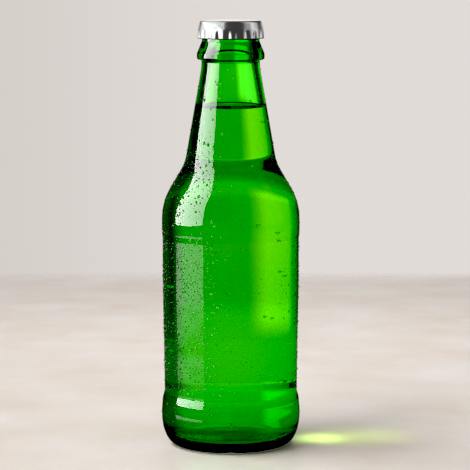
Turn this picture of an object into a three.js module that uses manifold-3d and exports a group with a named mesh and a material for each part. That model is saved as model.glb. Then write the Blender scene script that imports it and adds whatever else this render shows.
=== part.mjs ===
// A crown-capped glass bottle of sparkling juice, chilled, with beads of condensation on the glass.
// Millimetres, +Z up, the origin on the table below the middle of the base.
import * as THREE from 'three';
import { mergeVertices } from 'three/addons/utils/BufferGeometryUtils.js';
import Module from 'manifold-3d';

const wasm = await Module();
wasm.setup();
const { clamp, degToRad, lerp, smoothstep } = THREE.MathUtils;

// Driving dimensions: radii from the bottle's axis, heights above the table
const clearance = 0.3; // between pieces that touch on the real bottle
const wall = 2.3;
const facetSag = 0.08; // how far a facet may stand off the round stretch that it replaces

const base = { ringInner: 20.5, ringOuter: 24, pushUp: 3.4 };
const hollow = {
  floor: 7.2, floorDrop: 0.9, floorRadius: 14, corner: 3.7, cornerRound: 6.2, neckRound: 30, boreRound: 60,
};
const wallLean = { shoulder: degToRad(15), neckFoot: degToRad(20), neckTop: degToRad(7) };
const heel = { height: 13, radius: 30.25 };
const bumper = { flatTop: 15, top: 20, radius: 29.9, round: 1.5 };
const panel = {
  bottom: 23.2, lowRadius: 29, middle: 42, middleRadius: 29.15, waist: 68, top: 91, radius: 29.66,
};
const ridge = { bottom: 93, radius: 29.98 };
const shoulder = { corner: 106.3, radius: 29.93, round: 27 };
const neck = { foot: 123.4, footRadius: 19.84, footRound: 19, top: 163.8, topRadius: 12.78, topRound: 8 };
const bead = {
  bottom: 167.5, neckRadius: 12.5, under: 168.2, underRound: 1, radius: 14.62, over: 170.6, overRound: 1.4,
  top: 175.9,
};
const finish = { radius: 12.43, lockBottom: 178.2, lockTop: 178.9, lockRadius: 13.05, bore: 8.7 };
const lip = { height: 184.15, outerRound: 1.2, innerRound: 0.8 };

const drinkLevel = 147.6;
const meniscus = { rise: 1.2, reach: 2.6 };

const crown = {
  height: 7.7, thickness: 0.35, topRadius: 13.15, topRound: 1.3, flutes: 21,
  fluteTop: 4.5, fluteTopRadius: 13.95, skirtRadius: 14.38, valleyDepth: 0.62, valleyWidth: 1.5,
};

const dew = { count: 72, lowest: 13.5, highest: 152, narrowest: 1.3, widest: 2.2, proud: 0.42 };

const segments = { glass: 48, heel: 6, juice: 36, perFlute: 4, dewSides: 6, dewRings: 4 };

// Replaces each corner [radius, height, rounding] of an outline with an arc tangent to both its sides
function roundedOutline(corners) {
  const points = [];
  corners.forEach(([radius, height, rounding = 0], index) => {
    const corner = new THREE.Vector2(radius, height);
    if (rounding === 0) {
      points.push(corner);
      return;
    }
    const [before, after] = [corners[index - 1], corners[index + 1]]
      .map(([r, z]) => new THREE.Vector2(r, z).sub(corner).normalize());
    const turn = Math.PI - Math.acos(clamp(before.dot(after), -1, 1));
    const start = corner.clone().addScaledVector(before, rounding * Math.tan(turn / 2));
    const middle = before.clone().add(after).normalize();
    const centre = corner.clone().addScaledVector(middle, rounding / Math.cos(turn / 2));
    const side = Math.sign(after.cross(before));
    const steps = Math.ceil(turn / (2 * Math.acos(1 - facetSag / rounding)));
    for (let step = 0; step <= steps; step++) {
      points.push(start.clone().rotateAround(centre, side * turn * step / steps));
    }
  });
  return points;
}

// The heel curves from the ring that the bottle stands on up to the bumper as a quarter of an ellipse
function heelCurve() {
  return Array.from({ length: segments.heel + 1 }, (_, step) => {
    const angle = Math.PI / 2 * step / segments.heel;
    const radius = base.ringOuter + (heel.radius - base.ringOuter) * Math.sin(angle);
    return new THREE.Vector2(radius, heel.height * (1 - Math.cos(angle)));
  });
}

function outerWall() {
  return [...heelCurve(), ...roundedOutline([
    [heel.radius, bumper.flatTop],
    [bumper.radius, bumper.top, bumper.round],
    [panel.lowRadius, panel.bottom, bumper.round],
    [panel.middleRadius, panel.middle],
    [panel.radius, panel.waist],
    [panel.radius, panel.top],
    [ridge.radius, ridge.bottom],
    [shoulder.radius, shoulder.corner, shoulder.round],
    [neck.footRadius, neck.foot, neck.footRound],
    [neck.topRadius, neck.top, neck.topRound],
    [bead.neckRadius, bead.bottom],
    [bead.radius, bead.under, bead.underRound],
    [bead.radius, bead.over, bead.overRound],
    [finish.radius, bead.top],
  ]).slice(0, -1)];
}

// The hollow inside the glass, from the mouth down; the drink fills the same outline drawn in by inset
function hollowCorners(inset) {
  const thickness = wall + inset;
  const within = (radius, height, lean) => [
    radius - thickness * Math.cos(lean), height - thickness * Math.sin(lean)];
  return [
    [finish.bore - inset, lip.height],
    [finish.bore - inset, finish.lockBottom, hollow.boreRound],
    [...within(neck.topRadius, neck.top, wallLean.neckTop), hollow.neckRound],
    [...within(neck.footRadius, neck.foot, wallLean.neckFoot), neck.footRound + thickness],
    [...within(shoulder.radius, shoulder.corner, wallLean.shoulder), shoulder.round - thickness],
    [panel.lowRadius - thickness, panel.bottom],
    [panel.lowRadius - thickness, hollow.corner + inset, hollow.cornerRound - inset],
    [hollow.floorRadius, hollow.floor - hollow.floorDrop + inset],
    [0, hollow.floor + inset],
  ];
}

function latheAroundZ(points, segmentCount) {
  return new THREE.LatheGeometry(points, segmentCount).rotateX(Math.PI / 2);
}

// Shares the corners of neighbouring faces and drops the faces that close up on the axis
function closedSurface(geometry) {
  geometry.deleteAttribute('normal');
  geometry.deleteAttribute('uv');
  const merged = mergeVertices(geometry, 1e-4);
  const kept = [];
  const { array } = merged.index;
  for (let i = 0; i < array.length; i += 3) {
    const [a, b, c] = [array[i], array[i + 1], array[i + 2]];
    if (a !== b && b !== c && c !== a) kept.push(a, b, c);
  }
  merged.setIndex(kept);
  return merged;
}

function solidFrom(geometry) {
  const surface = closedSurface(geometry);
  return new wasm.Manifold(new wasm.Mesh({
    numProp: 3,
    vertProperties: new Float32Array(surface.attributes.position.array),
    triVerts: new Uint32Array(surface.index.array),
  }));
}

function geometryFrom(solid) {
  const mesh = solid.getMesh();
  const geometry = new THREE.BufferGeometry();
  geometry.setAttribute('position', new THREE.BufferAttribute(new Float32Array(mesh.vertProperties), 3));
  geometry.setIndex(new THREE.BufferAttribute(new Uint32Array(mesh.triVerts), 1));
  return geometry;
}

// Radius of the outside of the glass at a height, and how far it leans outward there
function wallAt(height) {
  const points = outerWall();
  const upper = points.findIndex((point) => point.y > height);
  const [low, high] = [points[upper - 1], points[upper]];
  const share = (height - low.y) / (high.y - low.y);
  return { radius: low.x + share * (high.x - low.x), lean: Math.atan2(high.x - low.x, high.y - low.y) };
}

// The largest beads of condensation: one on each side of the bumper, where the bottle is widest,
// and the others spread over the glass by multiples of irrational steps
function dewBeads() {
  const spread = (index, step) => (index * step) % 1;
  return Array.from({ length: dew.count }, (_, index) => {
    const onBumper = index < 4;
    const turn = 2 * Math.PI * (onBumper ? index / 4 : spread(index, 0.61803399));
    const height = onBumper ? dew.lowest : lerp(dew.lowest, dew.highest, spread(index, 0.75487767));
    const width = lerp(dew.narrowest, dew.widest, spread(index, 0.56984029));
    const { radius, lean } = wallAt(height);
    const reach = radius * Math.cos(Math.PI / segments.glass);
    return new THREE.SphereGeometry(1, segments.dewSides, segments.dewRings)
      .rotateZ(Math.PI / 2)
      .scale(dew.proud * 2, width / 2, width / 2)
      .rotateY(lean)
      .translate(reach - dew.proud, 0, height)
      .rotateZ(turn);
  });
}

function makeGlass() {
  const underside = [0, 0.4, 0.7, 0.9, 1].map((part) => new THREE.Vector2(
    base.ringInner * part, base.pushUp * (1 - part ** 2)));
  const mouthAndHollow = roundedOutline([
    [finish.radius, bead.top],
    [finish.radius, finish.lockBottom],
    [finish.lockRadius, finish.lockTop],
    [finish.lockRadius, lip.height, lip.outerRound],
    [finish.bore, lip.height, lip.innerRound],
    ...hollowCorners(0).slice(1),
  ]);
  const shell = latheAroundZ([...underside, ...outerWall(), ...mouthAndHollow], segments.glass);
  return geometryFrom(wasm.Manifold.union([solidFrom(shell), ...dewBeads().map(solidFrom)]));
}

// The drink climbs the glass a little where its surface meets the wall
function makeJuice() {
  const side = roundedOutline(hollowCorners(clearance)).reverse();
  const rim = side.findIndex((point) => point.y > drinkLevel + meniscus.rise);
  const [low, high] = [side[rim - 1], side[rim]];
  const share = (drinkLevel + meniscus.rise - low.y) / (high.y - low.y);
  const edge = low.clone().lerp(high, share);
  const surface = [0.35, 0.7, 1].map((part) => new THREE.Vector2(
    edge.x - meniscus.reach * part, drinkLevel + meniscus.rise * (1 - part) ** 2));
  const outline = [...side.slice(0, rim), edge, ...surface, new THREE.Vector2(0, drinkLevel)];
  return closedSurface(latheAroundZ(outline, segments.juice));
}

// The cap is pressed from thin sheet; heights count up from the edge of its skirt
function makeCrown() {
  const skirt = [0, 1 / 3, 2 / 3, 1].map((part) => [
    lerp(crown.fluteTopRadius, crown.skirtRadius, Math.sqrt(part)), crown.fluteTop * (1 - part)]);
  const outside = roundedOutline([
    [0, crown.height], [crown.topRadius, crown.height, crown.topRound], ...skirt]);
  const inside = outside.map((point) => new THREE.Vector2(
    Math.max(0, point.x - crown.thickness), Math.min(point.y, crown.height - crown.thickness)));
  const skin = latheAroundZ([...inside, ...outside.reverse()], crown.flutes * segments.perFlute);
  const { position } = skin.attributes;
  for (let i = 0; i < position.count; i++) {
    const [x, y, z] = [position.getX(i), position.getY(i), position.getZ(i)];
    const wave = (1 - Math.cos(crown.flutes * Math.atan2(y, x))) / 2;
    const down = Math.sqrt(smoothstep(crown.fluteTop - z, 0, crown.fluteTop));
    if (down === 0) continue;
    const pressed = 1 - crown.valleyDepth * down * wave ** crown.valleyWidth / Math.hypot(x, y);
    position.setXYZ(i, x * pressed, y * pressed, z);
  }
  return closedSurface(skin);
}

const model = new THREE.Group();

function addPiece(name, geometry, look) {
  const piece = new THREE.Mesh(geometry, new THREE.MeshStandardMaterial(look));
  piece.name = name;
  model.add(piece);
  return piece;
}

addPiece('glass_bottle', makeGlass(), { color: 0x0e8f1c, roughness: 0.06, metalness: 0 });
addPiece('juice', makeJuice(), { color: 0xe9e3b4, roughness: 0.05, metalness: 0 });
const cap = addPiece('crown_cap', makeCrown(), { color: 0xc9cccb, roughness: 0.3, metalness: 1 });
cap.position.z = lip.height + clearance + crown.thickness - crown.height;

export default model;
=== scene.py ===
import math

import bpy
import numpy as np
from mathutils import Matrix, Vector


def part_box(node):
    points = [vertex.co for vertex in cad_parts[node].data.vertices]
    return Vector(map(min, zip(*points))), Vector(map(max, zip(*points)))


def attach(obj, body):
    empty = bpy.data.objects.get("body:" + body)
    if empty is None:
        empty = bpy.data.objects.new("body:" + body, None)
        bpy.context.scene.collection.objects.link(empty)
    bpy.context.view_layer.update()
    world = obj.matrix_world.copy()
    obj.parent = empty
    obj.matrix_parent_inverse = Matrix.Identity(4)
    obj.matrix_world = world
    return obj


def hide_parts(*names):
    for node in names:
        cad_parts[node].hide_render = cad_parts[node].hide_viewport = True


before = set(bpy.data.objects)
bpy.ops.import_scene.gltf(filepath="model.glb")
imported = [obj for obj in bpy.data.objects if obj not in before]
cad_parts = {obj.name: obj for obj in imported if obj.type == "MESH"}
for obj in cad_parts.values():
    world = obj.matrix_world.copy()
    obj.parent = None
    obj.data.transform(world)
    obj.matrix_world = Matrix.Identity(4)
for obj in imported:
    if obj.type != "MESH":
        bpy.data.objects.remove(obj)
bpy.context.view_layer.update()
mm = 0.001
body = "root"
print("frame loaded")

# Sizes of the bottle in millimetres: radii from its axis, heights above the table
glass = {
    "wall": 2.3, "ringInner": 20.5, "ringOuter": 24.0, "pushUp": 3.4,
    "heelHeight": 13.0, "heelRadius": 30.25,
    "bumperFlat": 15.0, "bumperTop": 20.0, "bumperRadius": 29.9, "bumperRound": 2.2,
    "panelBottom": 23.2, "panelLow": 29.0,
    "panelMiddle": 42.0, "panelMiddleRadius": 29.15, "panelMiddleRound": 300,
    "panelWaist": 68.0, "panelWaistRound": 500, "panelTop": 91.0, "panelRadius": 29.66,
    "ridgeBottom": 93.0, "ridgeRadius": 29.98, "ridgeRound": 3.5,
    "shoulder": 106.3, "shoulderRadius": 29.93, "shoulderRound": 27.0,
    "neckFoot": 123.4, "neckFootRadius": 19.84, "neckFootRound": 19.0,
    "neckTop": 163.8, "neckTopRadius": 12.78, "neckTopRound": 8.0,
    "beadBottom": 167.5, "beadNeck": 12.5, "beadUnder": 168.2, "beadUnderRound": 1.0, "beadRadius": 14.62,
    "beadOver": 170.6, "beadOverRound": 1.4, "beadTop": 175.9, "beadTopRound": 0.5, "finishRadius": 12.43,
    "lockBottom": 178.2, "lockTop": 178.9, "lockRadius": 13.05, "lockRound": 0.3,
    "bore": 8.7, "lipOuterRound": 1.2, "lipInnerRound": 0.8,
    "turns": 160, "spacing": 1.1, "heelSteps": 22, "undersideSteps": 16,
}
hollow = {
    "floor": 7.2, "floorDrop": 0.9, "floorRadius": 14.0, "floorRound": 40,
    "corner": 3.7, "cornerRound": 6.2,
    "wallRound": 300, "neckRound": 30.0, "boreRound": 60.0,
    "shoulderLean": 15, "neckFootLean": 20, "neckTopLean": 7,  # degrees
}
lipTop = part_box("glass_bottle")[1].z / mm
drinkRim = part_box("juice")[1].z / mm


def roundedOutline(corners, turnStep=math.radians(5)):  # a corner's third number is the radius of its arc
    points = []
    for index, corner in enumerate(corners):
        at = np.array(corner[:2], float)
        rounding = corner[2] if len(corner) > 2 else 0
        if not rounding:
            points.append(at)
            continue
        before = np.array(corners[index - 1][:2], float) - at
        after = np.array(corners[index + 1][:2], float) - at
        before, after = before / np.linalg.norm(before), after / np.linalg.norm(after)
        turn = math.pi - math.acos(max(-1, min(1, before @ after)))
        middle = (before + after) / np.linalg.norm(before + after)
        centre = at + middle * rounding / math.cos(turn / 2)
        spoke = at + before * rounding * math.tan(turn / 2) - centre
        side = math.copysign(1, after[0] * before[1] - after[1] * before[0])
        steps = max(2, math.ceil(turn / turnStep))
        for step in range(steps + 1):
            cosine = math.cos(side * turn * step / steps)
            sine = math.sin(side * turn * step / steps)
            points.append(centre + np.array([spoke[0] * cosine - spoke[1] * sine,
                                             spoke[0] * sine + spoke[1] * cosine]))
    return points


def evenlySpaced(points, spacing):  # extra points on long stretches keep smooth shading true along them
    spread = [points[0]]
    for low, high in zip(points, points[1:]):
        steps = max(1, math.ceil(np.linalg.norm(high - low) / spacing))
        spread += [low + (high - low) * step / steps for step in range(1, steps + 1)]
    return np.array(spread)


def outerWall():
    flare = glass["heelRadius"] - glass["ringOuter"]
    heel = [np.array([glass["ringOuter"] + flare * math.sin(angle),
                      glass["heelHeight"] * (1 - math.cos(angle))])
            for angle in np.linspace(0, math.pi / 2, glass["heelSteps"])]
    return heel + roundedOutline([
        (glass["heelRadius"], glass["bumperFlat"]),
        (glass["bumperRadius"], glass["bumperTop"], glass["bumperRound"]),
        (glass["panelLow"], glass["panelBottom"], glass["bumperRound"]),
        (glass["panelMiddleRadius"], glass["panelMiddle"], glass["panelMiddleRound"]),
        (glass["panelRadius"], glass["panelWaist"], glass["panelWaistRound"]),
        (glass["panelRadius"], glass["panelTop"], glass["ridgeRound"]),
        (glass["ridgeRadius"], glass["ridgeBottom"], glass["ridgeRound"]),
        (glass["shoulderRadius"], glass["shoulder"], glass["shoulderRound"]),
        (glass["neckFootRadius"], glass["neckFoot"], glass["neckFootRound"]),
        (glass["neckTopRadius"], glass["neckTop"], glass["neckTopRound"]),
        (glass["beadNeck"], glass["beadBottom"], glass["beadUnderRound"]),
        (glass["beadRadius"], glass["beadUnder"], glass["beadUnderRound"]),
        (glass["beadRadius"], glass["beadOver"], glass["beadOverRound"]),
        (glass["finishRadius"], glass["beadTop"], glass["beadTopRound"]),
        (glass["finishRadius"], glass["lockBottom"], glass["lockRound"]),
        (glass["lockRadius"], glass["lockTop"], glass["lockRound"]),
        (glass["lockRadius"], lipTop, glass["lipOuterRound"]),
        (glass["bore"], lipTop),
    ])[:-1]


def hollowCorners(inset):  # from the mouth down; the drink takes the same outline with an inset
    thickness = glass["wall"] + inset

    def within(place, lean):
        lean = math.radians(lean)
        radius, height = glass[place + "Radius"], glass[place]
        return radius - thickness * math.cos(lean), height - thickness * math.sin(lean)

    return [
        (glass["bore"] - inset, lipTop),
        (glass["bore"] - inset, glass["lockBottom"], hollow["boreRound"]),
        (*within("neckTop", hollow["neckTopLean"]), hollow["neckRound"]),
        (*within("neckFoot", hollow["neckFootLean"]), glass["neckFootRound"] + thickness),
        (*within("shoulder", hollow["shoulderLean"]), glass["shoulderRound"] - thickness),
        (glass["panelLow"] - thickness, glass["panelBottom"], hollow["wallRound"]),
        (glass["panelLow"] - thickness, hollow["corner"] + inset, hollow["cornerRound"] - inset),
        (hollow["floorRadius"], hollow["floor"] - hollow["floorDrop"] + inset, hollow["floorRound"]),
        (0, hollow["floor"] + inset),
    ]


def meshPiece(name, vertices, faces, smooth=True):
    mesh = bpy.data.meshes.new(name)
    mesh.from_pydata(vertices, [], faces)
    mesh.update()
    if smooth:
        mesh.shade_smooth()
    piece = bpy.data.objects.new(name, mesh)
    bpy.context.scene.collection.objects.link(piece)
    return piece


def lathePiece(name, outline, turns, radiusAt=None):  # closed; the outline starts and ends on the axis
    onAxis = 1e-6
    angles = np.arange(turns) * 2 * math.pi / turns
    vertices, rings, faces = [], [], []
    for radius, height in outline:
        rings.append(len(vertices))
        if radius < onAxis:
            vertices.append((0, 0, height * mm))
            continue
        radii = np.full(turns, radius) if radiusAt is None else radiusAt(radius, height, angles)
        for reach, angle in zip(radii, angles):
            vertices.append((reach * math.cos(angle) * mm, reach * math.sin(angle) * mm, height * mm))
    for low, high, lowRadius, highRadius in zip(rings, rings[1:], outline[:-1, 0], outline[1:, 0]):
        for i in range(turns):
            j = (i + 1) % turns
            if lowRadius < onAxis:
                faces.append((low, high + j, high + i))
            elif highRadius < onAxis:
                faces.append((low + i, low + j, high))
            else:
                faces.append((low + i, low + j, high + j, high + i))
    return meshPiece(name, vertices, faces)


def belongs(piece, material, node):
    piece.data.materials.append(material)
    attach(piece, body)
    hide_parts(node)


# Shader helpers

def newMaterial(name):
    material = bpy.data.materials.new(name)
    material.use_nodes = True
    return material, material.node_tree, material.node_tree.nodes["Principled BSDF"]


def add(tree, kind, links=(), **values):  # values are properties or plain inputs
    node = tree.nodes.new(kind)
    for key, value in values.items():
        if hasattr(node, key) and key not in node.inputs:
            setattr(node, key, value)
        else:
            node.inputs[key].default_value = value
    for key, source in dict(links).items():
        tree.links.new(source, node.inputs[key])
    return node


def maths(tree, operation, *values):
    node = tree.nodes.new("ShaderNodeMath")
    node.operation = operation
    for index, value in enumerate(values):
        if isinstance(value, (int, float)):
            node.inputs[index].default_value = value
        else:
            tree.links.new(value, node.inputs[index])
    return node.outputs[0]


def times(tree, first, *others):
    for other in others:
        first = maths(tree, "MULTIPLY", first, other)
    return first


def plus(tree, first, second):
    return maths(tree, "ADD", first, second)


def ramp(tree, value, low, high, fromLevel=0.0, toLevel=1.0):  # smooth, from low to high
    if low > high:
        low, high, fromLevel, toLevel = high, low, toLevel, fromLevel
    node = add(tree, "ShaderNodeMapRange", {"Value": value}, interpolation_type="SMOOTHSTEP")
    for key, number in zip(("From Min", "From Max", "To Min", "To Max"), (low, high, fromLevel, toLevel)):
        node.inputs[key].default_value = number
    return node.outputs[0]


def between(tree, value, low, high, soft):
    rise, fall = (ramp(tree, value, edge - soft, edge + soft) for edge in (low, high))
    return maths(tree, "SUBTRACT", rise, fall)


def axesOf(tree, coordinates):
    place = add(tree, "ShaderNodeTexCoord").outputs[coordinates]
    return add(tree, "ShaderNodeSeparateXYZ", {0: place}).outputs


def azimuthOf(tree, axes):  # degrees from straight behind the bottle, left negative
    return times(tree, maths(tree, "ARCTAN2", axes["X"], axes["Y"]), 180 / math.pi)


def scaled(tree, colour, scale):
    return add(tree, "ShaderNodeVectorMath", {0: colour, "Scale": scale}, operation="SCALE").outputs[0]


def mixed(tree, factor, first, second):  # each colour is a plain one or another node's output
    node = add(tree, "ShaderNodeMix", {"Factor": factor}, data_type="RGBA")
    for key, colour in (("A", first), ("B", second)):
        if isinstance(colour, tuple):
            node.inputs[key].default_value = colour
        else:
            tree.links.new(colour, node.inputs[key])
    return node.outputs["Result"]


def startGroup(name, inputs, outputs):
    group = bpy.data.node_groups.new(name, "ShaderNodeTree")
    for socketName, kind, default in inputs:
        group.interface.new_socket(socketName, in_out="INPUT", socket_type=kind).default_value = default
    for socketName, kind in outputs:
        group.interface.new_socket(socketName, in_out="OUTPUT", socket_type=kind)
    return group, group.nodes.new("NodeGroupInput").outputs, group.nodes.new("NodeGroupOutput").inputs


def placeGroup(tree, group, **values):
    node = tree.nodes.new("ShaderNodeGroup")
    node.node_tree = group
    for key, value in values.items():
        node.inputs[key].default_value = value
    return node.outputs["Value"]


noiseSpan = (0.3, 0.7)  # the part of the noise that is stretched from Low to High


def makeUnevenness():  # one mask for haze, stains and slow waves
    group, given, out = startGroup("unevenness", [
        ("Scale", "NodeSocketFloat", 40.0), ("Detail", "NodeSocketFloat", 3.0),
        ("Low", "NodeSocketFloat", 0.0), ("High", "NodeSocketFloat", 1.0)], [("Value", "NodeSocketFloat")])
    place = add(group, "ShaderNodeTexCoord")
    noise = add(group, "ShaderNodeTexNoise", {
        "Vector": place.outputs["Object"], "Scale": given["Scale"], "Detail": given["Detail"]})
    ranged = add(group, "ShaderNodeMapRange", {
        "Value": noise.outputs["Fac"], "To Min": given["Low"], "To Max": given["High"]})
    ranged.inputs["From Min"].default_value, ranged.inputs["From Max"].default_value = noiseSpan
    group.links.new(ranged.outputs[0], out["Value"])
    return group


unevenness = makeUnevenness()


def unevenRoughness(tree, shader, look):
    haze = placeGroup(tree, unevenness, Scale=look["hazeScale"], Low=look["roughLow"],
                      High=look["roughHigh"])
    tree.links.new(haze, shader.inputs["Roughness"])


def clearMaterial(name, look):  # glass, juice and water
    material, tree, shader = newMaterial(name)
    shader.inputs["Base Color"].default_value = look["tint"]
    shader.inputs["IOR"].default_value = look["ior"]
    shader.inputs["Transmission Weight"].default_value = 1
    if "rough" in look:
        shader.inputs["Roughness"].default_value = look["rough"]
    if "density" in look:
        inside = add(tree, "ShaderNodeVolumeAbsorption", Color=look["absorbs"], Density=look["density"])
        tree.links.new(inside.outputs[0], tree.nodes["Material Output"].inputs["Volume"])
    return material, tree, shader


# The glass bottle

glassLook = {
    "tint": (1, 1, 1, 1), "ior": 1.52, "absorbs": (0.28, 0.869, 0.06, 1), "density": 800,
    "hazeScale": 90, "roughLow": 0.0, "roughHigh": 0.03,
    "waveScale": 55, "waveDetail": 1.0, "waveDepth": 0.05,
}


def bottleGreenGlass(look):
    material, tree, shader = clearMaterial("bottleGreenGlass", look)
    unevenRoughness(tree, shader, look)
    wave = placeGroup(tree, unevenness, Scale=look["waveScale"], Detail=look["waveDetail"])
    bump = add(tree, "ShaderNodeBump", {"Height": wave}, Distance=look["waveDepth"] * mm)
    tree.links.new(bump.outputs["Normal"], shader.inputs["Normal"])
    return material


def makeGlass():
    underside = [np.array([glass["ringInner"] * part, glass["pushUp"] * (1 - part ** 2)])
                 for part in np.linspace(0, 1, glass["undersideSteps"])]
    mouth = roundedOutline([
        (glass["lockRadius"], lipTop),
        (glass["bore"], lipTop, glass["lipInnerRound"]),
        *hollowCorners(0)[1:],
    ])[1:]
    outline = evenlySpaced([*underside, *outerWall(), *mouth], glass["spacing"])
    piece = lathePiece("bottle_glass", outline, glass["turns"])
    belongs(piece, bottleGreenGlass(glassLook), "glass_bottle")


makeGlass()
print("glass made")

# The juice reaches just into the wall, so no air shows between them

juiceLook = {
    "tint": (1, 1, 1, 1), "ior": 1.34, "rough": 0.0, "absorbs": (0.9, 0.86, 0.5, 1), "density": 14,
}
juiceShape = {
    "intoWall": 0.2, "rise": 1.7, "reach": 2.1, "steepness": 1.15, "climbSteps": 10,
    "surfaceRings": (0.66, 0.33, 0),
}


def makeJuice():
    shape = juiceShape
    side = evenlySpaced(roundedOutline(hollowCorners(-shape["intoWall"])), glass["spacing"])[::-1]
    below = side[side[:, 1] < drinkRim]
    beside = side[len(below) - 1:len(below) + 1]
    edge = np.array([np.interp(drinkRim, beside[:, 1], beside[:, 0]), drinkRim])
    level = drinkRim - shape["rise"]
    climb = [np.array([edge[0] - shape["reach"] * part,
                       level + shape["rise"] * (1 - part) ** shape["steepness"]])
             for part in np.linspace(0, 1, shape["climbSteps"])]
    surface = [np.array([climb[-1][0] * part, level]) for part in shape["surfaceRings"]]
    piece = lathePiece("juice_fill", np.array([*below, *climb, *surface]), glass["turns"])
    belongs(piece, clearMaterial("paleJuice", juiceLook)[0], "juice")


makeJuice()
print("juice made")

# The crown cap; its heights count up from the edge of the skirt

capShape = {
    "thickness": 0.3, "topRadius": 13.15, "topRound": 1.3, "flutes": 21, "fluteTop": 4.5, "fluteSteps": 12,
    "fluteTopRadius": 13.95, "skirtRadius": 14.38, "valleyDepth": 0.62, "valleyWidth": 1.5,
    "turnsPerFlute": 20, "spacing": 0.8,
}
capLook = {"metal": (0.74, 0.75, 0.75, 1), "hazeScale": 260, "roughLow": 0.12, "roughHigh": 0.24}


def polishedTinplate(look):
    material, tree, shader = newMaterial("polishedTinplate")
    shader.inputs["Base Color"].default_value = look["metal"]
    shader.inputs["Metallic"].default_value = 1
    unevenRoughness(tree, shader, look)
    return material


def makeCap():
    low, high = (corner.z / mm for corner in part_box("crown_cap"))
    height, shape = high - low, capShape
    thickness, fluteTop = shape["thickness"], shape["fluteTop"]
    flare = shape["skirtRadius"] - shape["fluteTopRadius"]
    skirt = [(shape["fluteTopRadius"] + flare * math.sqrt(part), fluteTop * (1 - part))
             for part in np.linspace(0, 1, shape["fluteSteps"])]
    outside = roundedOutline([(0, height), (shape["topRadius"], height, shape["topRound"]), *skirt])
    inside = [np.array([max(0, radius - thickness), min(above, height - thickness)])
              for radius, above in outside]
    outline = evenlySpaced([*inside, *outside[::-1]], shape["spacing"])

    def pressed(radius, above, angles):
        down = min(1, max(0, 1 - above / fluteTop))
        down = math.sqrt(down * down * (3 - 2 * down))
        wave = (1 - np.cos(shape["flutes"] * angles)) / 2
        return radius - shape["valleyDepth"] * down * wave ** shape["valleyWidth"]

    piece = lathePiece("cap_shell", outline, shape["flutes"] * shape["turnsPerFlute"], pressed)
    piece.data.transform(Matrix.Translation((0, 0, low * mm)))
    belongs(piece, polishedTinplate(capLook), "crown_cap")


makeCap()
print("cap made")

# Condensation: the large beads of the CAD model, mid-size drops and fine mist, denser on the left

dew = {
    "count": 72, "onBumper": 4, "lowest": 13.5, "highest": 152.0, "narrowest": 1.3, "widest": 2.2,
    "steps": (0.61803399, 0.75487767, 0.56984029),  # around, up and in width; they spread the beads
    "sides": 20, "rings": 6, "dryShare": 0.3,  # how much of its width a bead keeps where the glass is dry
    "tallest": 0.33, "sink": 0.05, "contactAngle": 52, "unevenness": 0.13, "droop": 0.12, "gap": 0.04,
    "between": (2, 176), "unrolledRadius": 30, "seed": 11,
}
dropKinds = {  # lean sets how many of them are small ones
    "dew_drops": {"tries": 9000, "radius": (0.38, 0.78), "lean": 1.8, "sides": 10, "rings": 3},
    "dew_mist": {"tries": 15000, "radius": (0.2, 0.42), "lean": 1.2, "sides": 8, "rings": 2},
}
dewAround = {  # azimuth from the camera's side, left negative, and how much of the glass is wet there
    "turn": (-180, -162, -158, -95, -76, -62, -56, -26, -16, -8, 0, 60, 75, 85, 100, 158, 180),
    "wet": (0.02, 0.03, 0.1, 0.25, 0.35, 0.45, 1.0, 1.0, 0.5, 0.12, 0.02, 0.02, 0.1, 0.3, 0.1, 0.03, 0.02),
}
dewUp = {
    "height": (2, 8, 13, 22, 27, 34, 90, 93, 97, 108, 113, 127, 133, 150, 160, 176),
    "wet": (0.0, 0.05, 0.06, 0.06, 0.5, 1.0, 1.0, 0.3, 0.2, 0.3, 0.7, 0.5, 0.14, 0.1, 0.05, 0.02),
}
waterLook = {"tint": (1, 1, 1, 1), "ior": 1.333, "rough": 0.28}


def wallRadiusAt(height):
    wall = np.array([point for point in outerWall() if point[1] > 1])  # above the curl of the heel
    return np.interp(height, wall[:, 1], wall[:, 0])


def wetAround(turn):
    fromCamera = (np.degrees(turn) + 90 + 180) % 360 - 180
    return np.interp(fromCamera, dewAround["turn"], dewAround["wet"])


def scatterDrops():  # for each kind the turn, height and radius of its drops
    random = np.random.default_rng(dew["seed"])
    cell, taken = 1.6, {}

    def place(turn, height, radius):
        arc = turn * dew["unrolledRadius"]
        column, row = int(arc // cell), int(height // cell)
        for i in (-1, 0, 1):
            for j in (-1, 0, 1):
                for nextArc, nextHeight, nextRadius in taken.get((column + i, row + j), ()):
                    apart = math.hypot(arc - nextArc, height - nextHeight)
                    if apart < radius + nextRadius + dew["gap"]:
                        return False
        taken.setdefault((column, row), []).append((arc, height, radius))
        return True

    beads = []
    for i in range(dew["count"]):
        onBumper = i < dew["onBumper"]
        around, up, inWidth = ((i * step) % 1 for step in dew["steps"])
        if onBumper:
            around, up = i / dew["onBumper"], 0
        turn = 2 * math.pi * around
        height = dew["lowest"] + (dew["highest"] - dew["lowest"]) * up
        width = dew["narrowest"] + (dew["widest"] - dew["narrowest"]) * inWidth
        if not onBumper:
            width *= dew["dryShare"] + (1 - dew["dryShare"]) * wetAround(turn)
        place(turn, height, width / 2)
        beads.append((turn, height, width / 2))
    spots = {"dew_beads": beads}
    for name, kind in dropKinds.items():
        count = kind["tries"]
        turns, heights = random.uniform(0, 2 * math.pi, count), random.uniform(*dew["between"], count)
        small, large = kind["radius"]
        radii = small + (large - small) * random.random(count) ** kind["lean"]
        wet = wetAround(turns) * np.interp(heights, dewUp["height"], dewUp["wet"])
        wet *= wallRadiusAt(heights) / dew["unrolledRadius"]
        kept = random.random(count) < wet
        spots[name] = [spot for spot in zip(turns[kept], heights[kept], radii[kept]) if place(*spot)]
    return spots


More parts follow.
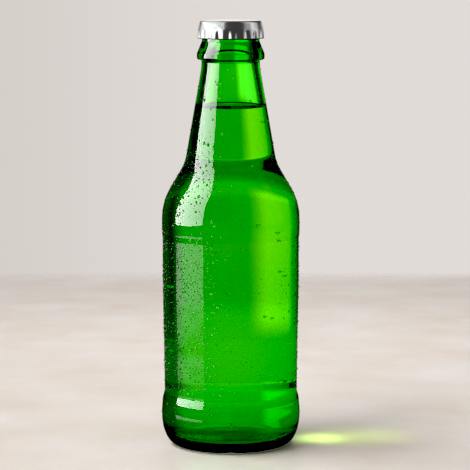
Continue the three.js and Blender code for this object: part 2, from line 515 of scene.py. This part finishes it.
def dropPoints(spots, sides, rings):  # for each drop its tip, then rings of points down to its foot
    random = np.random.default_rng(dew["seed"] + len(spots))
    turn, height, radius = np.array(spots).T
    count, step = len(spots), 0.3
    wallRadius = wallRadiusAt(height)
    lean = np.arctan((wallRadiusAt(height + step) - wallRadiusAt(height - step)) / (2 * step))
    outward = np.stack([np.cos(turn) * np.cos(lean), np.sin(turn) * np.cos(lean), -np.sin(lean)], 1)
    upward = np.stack([np.cos(turn) * np.sin(lean), np.sin(turn) * np.sin(lean), np.cos(lean)], 1)
    aside = np.stack([-np.sin(turn), np.cos(turn), np.zeros(count)], 1)
    onGlass = np.stack([wallRadius * np.cos(turn), wallRadius * np.sin(turn), height], 1)
    contact = math.radians(dew["contactAngle"])
    proud = np.minimum(radius * math.tan(contact / 2), dew["tallest"])
    around = np.arange(sides) * 2 * math.pi / sides
    first, second = random.uniform(0, 2 * math.pi, (2, count, 1))
    lobes = (np.cos(2 * (around - first)) + 0.5 * np.cos(3 * (around - second))) / 1.5
    uneven = 1 + dew["unevenness"] * lobes
    shares = [(math.sin(contact * ring / rings) / math.sin(contact),
               (math.cos(contact * ring / rings) - math.cos(contact)) / (1 - math.cos(contact)))
              for ring in range(1, rings + 1)]
    foot = (1.0, None)  # the last ring, sunk into the glass
    shares = [*shares, foot] if rings > 2 else [*shares[:-1], foot]
    layers = [(onGlass + outward * proud[:, None])[:, None, :]]
    for across, rise in shares:
        out = np.full(count, -dew["sink"]) if rise is None else proud * rise
        reach = radius[:, None] * across * uneven
        narrowed = 1 - dew["droop"] * (across if rise is None else 1 - rise)
        layer = (onGlass + outward * out[:, None])[:, None, :]
        layer = layer + aside[:, None, :] * (reach * np.cos(around) * narrowed)[:, :, None]
        layers.append(layer + upward[:, None, :] * (reach * np.sin(around))[:, :, None])
    return np.concatenate(layers, 1)


def dropPiece(name, spots, sides, rings, material):  # closed caps of water
    points = dropPoints(spots, sides, rings)
    count, each = points.shape[:2]
    faces = [(0, 1 + i, 1 + (i + 1) % sides) for i in range(sides)]
    for low in range(1, each - sides, sides):
        high = low + sides
        faces += [(low + i, high + i, high + (i + 1) % sides, low + (i + 1) % sides) for i in range(sides)]
    faces.append(tuple(each - 1 - i for i in range(sides)))
    allFaces = [tuple(corner + first for corner in face)
                for first in range(0, count * each, each) for face in faces]
    piece = meshPiece(name, (points.reshape(-1, 3) * mm).tolist(), allFaces)
    mesh = piece.data
    smooth = np.ones(len(mesh.polygons), bool)
    smooth[len(faces) - 1::len(faces)] = False  # the flat foot
    mesh.polygons.foreach_set("use_smooth", smooth)
    ends = np.empty(len(mesh.edges) * 2, np.int32)
    mesh.edges.foreach_get("vertices", ends)
    atFoot = (ends.reshape(-1, 2) % each >= each - sides).all(1)
    mesh.edges.foreach_set("use_edge_sharp", atFoot)
    belongs(piece, material, "glass_bottle")


def makeDew():
    water = clearMaterial("condensationWater", waterLook)[0]
    spots = scatterDrops()
    dropPiece("dew_beads", spots["dew_beads"], dew["sides"], dew["rings"], water)
    for name, kind in dropKinds.items():
        dropPiece(name, spots[name], kind["sides"], kind["rings"], water)
    print("drops", {name: len(kind) for name, kind in spots.items()})


makeDew()
print("condensation made")

# The camera that fits the photo; focal length and frame in its pixels

cameraPlace = {"right": 1.85, "back": 945.0, "height": 211.9, "pitch": 7.25, "focal": 2187.0, "frame": 470}


def makeCamera():
    place, sensor = cameraPlace, 36
    camera = bpy.data.objects.new("photoCamera", bpy.data.cameras.new("photoCamera"))
    camera.data.sensor_width = sensor
    camera.data.lens = sensor * place["focal"] / place["frame"]
    camera.location = (place["right"] * mm, -place["back"] * mm, place["height"] * mm)
    camera.rotation_euler = (math.radians(90 - place["pitch"]), 0, 0)
    bpy.context.scene.collection.objects.link(camera)
    bpy.context.scene.camera = camera


# The table is pale and stained; painted shade darkens it toward its edges, where it also fades out

table = {
    "half": 526.0, "fadeFrom": 478, "fadeTo": 524, "edgeShadeFrom": 240, "edgeShadeTo": 470, "edgeShade": 0.82,
    "pale": (0.69, 0.655, 0.625, 1), "stain": (0.63, 0.56, 0.5, 1), "stainScale": 22, "stainDetail": 8.0,
    "hazeScale": 30, "roughLow": 0.35, "roughHigh": 0.6,
}


def makeTable():
    half = table["half"] * mm
    corners = [(x * half, y * half, 0) for x, y in ((-1, -1), (1, -1), (1, 1), (-1, 1))]
    piece = meshPiece("table", corners, [(0, 1, 2, 3)], False)
    material, tree, shader = newMaterial("paleTable")
    axes = axesOf(tree, "Object")
    across = maths(tree, "MAXIMUM", *(maths(tree, "ABSOLUTE", axes[axis]) for axis in "XY"))
    stains = placeGroup(tree, unevenness, Scale=table["stainScale"], Detail=table["stainDetail"])
    colour = mixed(tree, stains, table["pale"], table["stain"])
    # painted shade: the table's colour is scaled darker toward its edges, standing in for less light
    # falling there
    edgeShade = ramp(tree, across, table["edgeShadeFrom"] * mm, table["edgeShadeTo"] * mm, 1, table["edgeShade"])
    fade = ramp(tree, across, table["fadeFrom"] * mm, table["fadeTo"] * mm, 1, 0)
    tree.links.new(scaled(tree, colour, edgeShade), shader.inputs["Base Color"])
    tree.links.new(fade, shader.inputs["Alpha"])
    unevenRoughness(tree, shader, table)
    piece.data.materials.append(material)
    piece.visible_glossy = piece.visible_transmission = False


# Lamps: upright panels on the left, small ones around the cap, and the light under the glass on the table

panels = {  # fadeTo: how bright one end is beside the other
    "leftPanel": {"x": -800.0, "near": -752.0, "far": 187.0, "low": 12.0, "high": 1400.0,
                  "radiance": 12.0, "fadeTo": 0.6},
    "tablePanel": {"x": -1600.0, "near": -2300.0, "far": 1100.0, "low": 1500.0, "high": 4600.0,
                   "radiance": 7.4, "fadeTo": 1},
}
capDistance = 500.0
capLamps = {  # azimuth from straight behind, radiance, lowest and highest edge
    "capLeft": (-150, -70, 1.25, 20, 420), "capEdge": (-70, -44, 0.75, 20, 420),
    "capRight": (64, 100, 0.5, 20, 420), "capWall": (-40, 50, 0.36, 150, 250),
    "capHighLeft": (-156, -76, 0.8, 420, 1400), "capHighBack": (-76, -40, 1.1, 300, 1400),
    "capHighMid": (-40, -5, 0.35, 300, 1400), "capHighRight": (60, 112, 0.38, 420, 1400),
}
greenGlow = {  # across, back, height, length, width, turn in degrees, colour, power
    "glowNear": (39.0, 6.0, 14.0, 18.0, 16.0, 0, (0.55, 0.9, 0.2), 0.0016),
    "glowFar": (56.0, 10.0, 26.0, 46.0, 26.0, 8, (0.5, 0.8, 0.0), 0.0024),
}
glowSpread = 80


def areaLamp(name, size, place, turn, radiance=0.0):
    light = bpy.data.lights.new(name, "AREA")
    light.shape = "RECTANGLE"
    light.size, light.size_y = (side * mm for side in size)
    light.energy = radiance * math.pi * light.size * light.size_y
    lamp = bpy.data.objects.new(name, light)
    lamp.location = [at * mm for at in place]
    lamp.rotation_euler = turn
    lamp.visible_camera = lamp.visible_transmission = False
    bpy.context.scene.collection.objects.link(lamp)
    return lamp


def makePanel(name):
    panel = panels[name]
    near, far, low, high = (panel[edge] for edge in ("near", "far", "low", "high"))
    place = (panel["x"], (near + far) / 2, (low + high) / 2)
    turn = (math.radians(90), 0, math.radians(-90))
    lamp = areaLamp(name, (far - near, high - low), place, turn, panel["radiance"])
    lamp.data.use_nodes = True
    tree = lamp.data.node_tree
    along = add(tree, "ShaderNodeNewGeometry").outputs["Parametric"]
    across = add(tree, "ShaderNodeSeparateXYZ", {0: along}).outputs["X"]
    strength = ramp(tree, across, 0, 1, 1, panel["fadeTo"])
    tree.links.new(strength, tree.nodes["Emission"].inputs["Strength"])
    return lamp


def makeCapLamp(name, left, right, radiance, low, high):
    middle, half = math.radians(left + right) / 2, math.radians(right - left) / 2
    size = (2 * capDistance * math.tan(half), high - low)
    place = (capDistance * math.sin(middle), capDistance * math.cos(middle), (low + high) / 2)
    return areaLamp(name, size, place, (math.radians(90), 0, math.pi - middle), radiance)


def linked(name, members, state="INCLUDE"):  # what a lamp lights, or leaves out
    group = bpy.data.collections.new(name)
    for member in members:
        group.objects.link(bpy.data.objects[member])
    for member in group.collection_objects:
        member.light_linking.link_state = state
    return group


def makeLamps():
    mirrored = makePanel("leftPanel")  # only the glass mirrors it
    mirrored.visible_diffuse = False
    mirrored.light_linking.receiver_collection = linked("glassOnly", ("cap_shell", "table"), "EXCLUDE")
    makePanel("tablePanel").visible_glossy = False
    capOnly, tableOnly = linked("capOnly", ("cap_shell",)), linked("tableOnly", ("table",))
    for name, place in capLamps.items():
        makeCapLamp(name, *place).light_linking.receiver_collection = capOnly
    for name, (x, y, height, length, width, turn, colour, power) in greenGlow.items():
        lamp = areaLamp(name, (length, width), (x, y, height), (0, 0, math.radians(turn)))
        lamp.data.shape, lamp.data.energy = "ELLIPSE", power
        lamp.data.color, lamp.data.spread = colour, math.radians(glowSpread)
        lamp.visible_glossy = False
        lamp.light_linking.receiver_collection = tableOnly


# A half-round screen that only rays leaving the glass see; its light stands for cards around the bottle

behind = {  # azimuths in degrees, heights in millimetres; a lit card on the left, a dark one on the right
    "distance": 290.0, "height": 420.0, "halfTurn": 88, "turnStep": 4, "foot": 18.0,
    "level": (0.55, 0.72, 0.69),
    "lit": (2.6, 1.45, 1.0), "litFrom": (-5, -14), "litTo": (-29, -40), "redTo": (-28, -38),
    "low": 1.3, "lowFrom": (26, 14), "neckAir": 1.15,
    "dark": 0.09, "darkFrom": (17, 31), "farLeft": (-44, -54),
    "high": 1.8, "highLeft": (1.5, 4), "highRight": (16, 22),
    "highDark": (-12, -19), "highFrom": (129, 137),
}


def makeScreenBehind():
    distance, halfTurn = behind["distance"], behind["halfTurn"]
    angles = [math.radians(turn) for turn in range(-halfTurn, halfTurn + 1, behind["turnStep"])]
    at = [(distance * math.sin(angle) * mm, distance * math.cos(angle) * mm) for angle in angles]
    vertices = [(x, y, z) for z in (0, behind["height"] * mm) for x, y in at]
    count = len(at)
    faces = [(i, i + 1, i + 1 + count, i + count) for i in range(count - 1)]
    piece = meshPiece("cardsBehind", vertices, faces, False)
    piece.visible_camera = piece.visible_diffuse = piece.visible_glossy = piece.visible_shadow = False
    material = bpy.data.materials.new("cardsBehind")
    material.use_nodes = True
    tree = material.node_tree
    tree.nodes.clear()
    axes = axesOf(tree, "Object")
    azimuth = azimuthOf(tree, axes)

    def aside(edges, *levels):
        return ramp(tree, azimuth, *behind[edges], *levels)

    def upward(edges, *levels):
        return ramp(tree, axes["Z"], *(edge * mm for edge in behind[edges]), *levels)

    foot = ramp(tree, axes["Z"], 0, behind["foot"] * mm)
    highUp = upward("highFrom")
    brighter = times(tree, upward("lowFrom", 1, behind["low"]), upward("highFrom", 1, behind["neckAir"]))
    highCard = times(tree, highUp, maths(tree, "SUBTRACT", aside("highLeft"), aside("highRight")))
    farLeft = times(tree, aside("farLeft"), foot)
    highDark = times(tree, highUp, aside("highDark"))
    darkened = 1
    for mask in (aside("darkFrom"), farLeft, highDark):
        darkened = times(tree, maths(tree, "SUBTRACT", 1, times(tree, mask, 1 - behind["dark"])), darkened)
    channels = {}
    stops = ("redTo", "litTo", "litTo")
    for channel, level, lit, stop in zip(("Red", "Green", "Blue"), behind["level"], behind["lit"], stops):
        card = times(tree, aside("litFrom"), aside(stop, 1, 0), foot, lit - level)
        value = times(tree, plus(tree, card, level), brighter)
        value = plus(tree, times(tree, highCard, behind["high"] - level), value)
        channels[channel] = times(tree, value, darkened)
    colour = add(tree, "ShaderNodeCombineColor", channels)
    glow = add(tree, "ShaderNodeEmission", {"Color": colour.outputs[0]})
    tree.links.new(glow.outputs[0], add(tree, "ShaderNodeOutputMaterial").inputs["Surface"])
    piece.data.materials.append(material)


# The world: a plain wall for the camera, soft fills, and how the table shows through the glass

wall = {"light": (0.765, 0.723, 0.695, 1), "shade": (0.66, 0.62, 0.585, 1), "across": (-0.16, 0.03)}
fill = {"everywhere": 0.1, "onTable": 0.43, "colour": (1, 0.97, 0.94)}
studio = {  # azimuth from straight behind the bottle, elevation, softness of the edges, brightness
    "wallBehind": ((-6, 6), (-90, 30), (1.5, 1), 0.7),
    "rightFill": ((81, 126), (-5, 42), (1, 1), 0.3),
}
lowStrip = {  # a pale strip just under the horizon, on the left
    "side": (-132.6, -75.2), "soft": 0.5, "top": (-7.24, -7.3), "bottom": (-9.6, -13.0), "brightness": 2.6,
}
through = {  # how bright the table looks through the glass, and where it is darker or lighter
    "elevation": (-90, -60, -40, -33, -29, -26, -24, -21, -16, -13.5, -11.4, -9.6, -8, 0),
    "brightness": (0.8, 0.8, 0.7, 0.75, 0.62, 0.75, 0.9, 1.4, 1.6, 1.3, 1.2, 1.3, 1.2, 1.0),
    "colour": (0.58, 0.76, 0.72), "horizon": (1, -1), "darkFrom": (21, 34), "dark": 0.25,
    "lift": 0.9, "liftSide": (-40, -15), "liftSideSoft": 3, "liftUp": (-14.2, -11.3), "liftUpSoft": 0.5,
}


def fillLight(tree, azimuth, elevation, onDiffuse):
    total = fill["everywhere"]
    for side, up, (sideSoft, upSoft), brightness in studio.values():
        mask = times(tree, between(tree, azimuth, *side, sideSoft), between(tree, elevation, *up, upSoft))
        total = plus(tree, times(tree, mask, brightness), total)
    strip = times(tree, between(tree, azimuth, *lowStrip["side"], lowStrip["soft"]),
                  ramp(tree, elevation, *lowStrip["top"]),
                  ramp(tree, elevation, *lowStrip["bottom"], lowStrip["brightness"], 0))
    total = plus(tree, plus(tree, total, strip), times(tree, onDiffuse, fill["onTable"]))
    around = add(tree, "ShaderNodeVectorMath", {"Scale": total}, operation="SCALE")
    around.inputs[0].default_value = fill["colour"]
    return around.outputs[0]


def tableThroughGlass(tree, azimuth, elevation):
    halfTurn = maths(tree, "DIVIDE", plus(tree, elevation, 90), 180)
    stops = add(tree, "ShaderNodeValToRGB", {"Fac": halfTurn})
    elements = stops.color_ramp.elements
    for index, (angle, level) in enumerate(zip(through["elevation"], through["brightness"])):
        place = (angle + 90) / 180
        stop = elements[index] if index < 2 else elements.new(place)
        stop.position, stop.color = place, (*(level * share for share in through["colour"]), 1)
    lifted = times(tree, between(tree, azimuth, *through["liftSide"], through["liftSideSoft"]),
                   between(tree, elevation, *through["liftUp"], through["liftUpSoft"]), through["lift"])
    shade = ramp(tree, azimuth, *through["darkFrom"], 1, through["dark"])
    return scaled(tree, stops.outputs["Color"], times(tree, shade, plus(tree, lifted, 1)))


def makeWorld():
    world = bpy.data.worlds.new("studio")
    bpy.context.scene.world = world
    world.use_nodes = True
    tree = world.node_tree
    tree.nodes.clear()
    axes = axesOf(tree, "Generated")
    azimuth = azimuthOf(tree, axes)
    elevation = times(tree, maths(tree, "ARCSINE", axes["Z"]), 180 / math.pi)
    path = add(tree, "ShaderNodeLightPath").outputs
    around = fillLight(tree, azimuth, elevation, path["Is Diffuse Ray"])
    glimpse = times(tree, path["Is Transmission Ray"], ramp(tree, elevation, *through["horizon"]))
    seenByGlass = mixed(tree, glimpse, around, tableThroughGlass(tree, azimuth, elevation))
    plainWall = mixed(tree, ramp(tree, axes["X"], *wall["across"]), wall["shade"], wall["light"])
    colour = mixed(tree, path["Is Camera Ray"], seenByGlass, plainWall)
    background = add(tree, "ShaderNodeBackground", {"Color": colour})
    tree.links.new(background.outputs[0], add(tree, "ShaderNodeOutputWorld").inputs["Surface"])


# Plain colours, with the deepest tones drawn down a little as a camera does

picture = {"blackLevel": 0.039, "bounces": 28, "throughGlass": 24, "mirrored": 12}


def setView():
    view = bpy.context.scene.view_settings
    view.view_transform = "Standard"
    view.use_curve_mapping = True
    view.curve_mapping.black_level = (picture["blackLevel"],) * 3
    view.curve_mapping.update()
    cycles = bpy.context.scene.cycles
    cycles.max_bounces = picture["bounces"]
    cycles.transmission_bounces, cycles.glossy_bounces = picture["throughGlass"], picture["mirrored"]
    cycles.blur_glossy = 0  # keeps the light that the bottle throws on the table


makeCamera()
makeTable()
makeLamps()
makeScreenBehind()
makeWorld()
setView()
print("stage made")
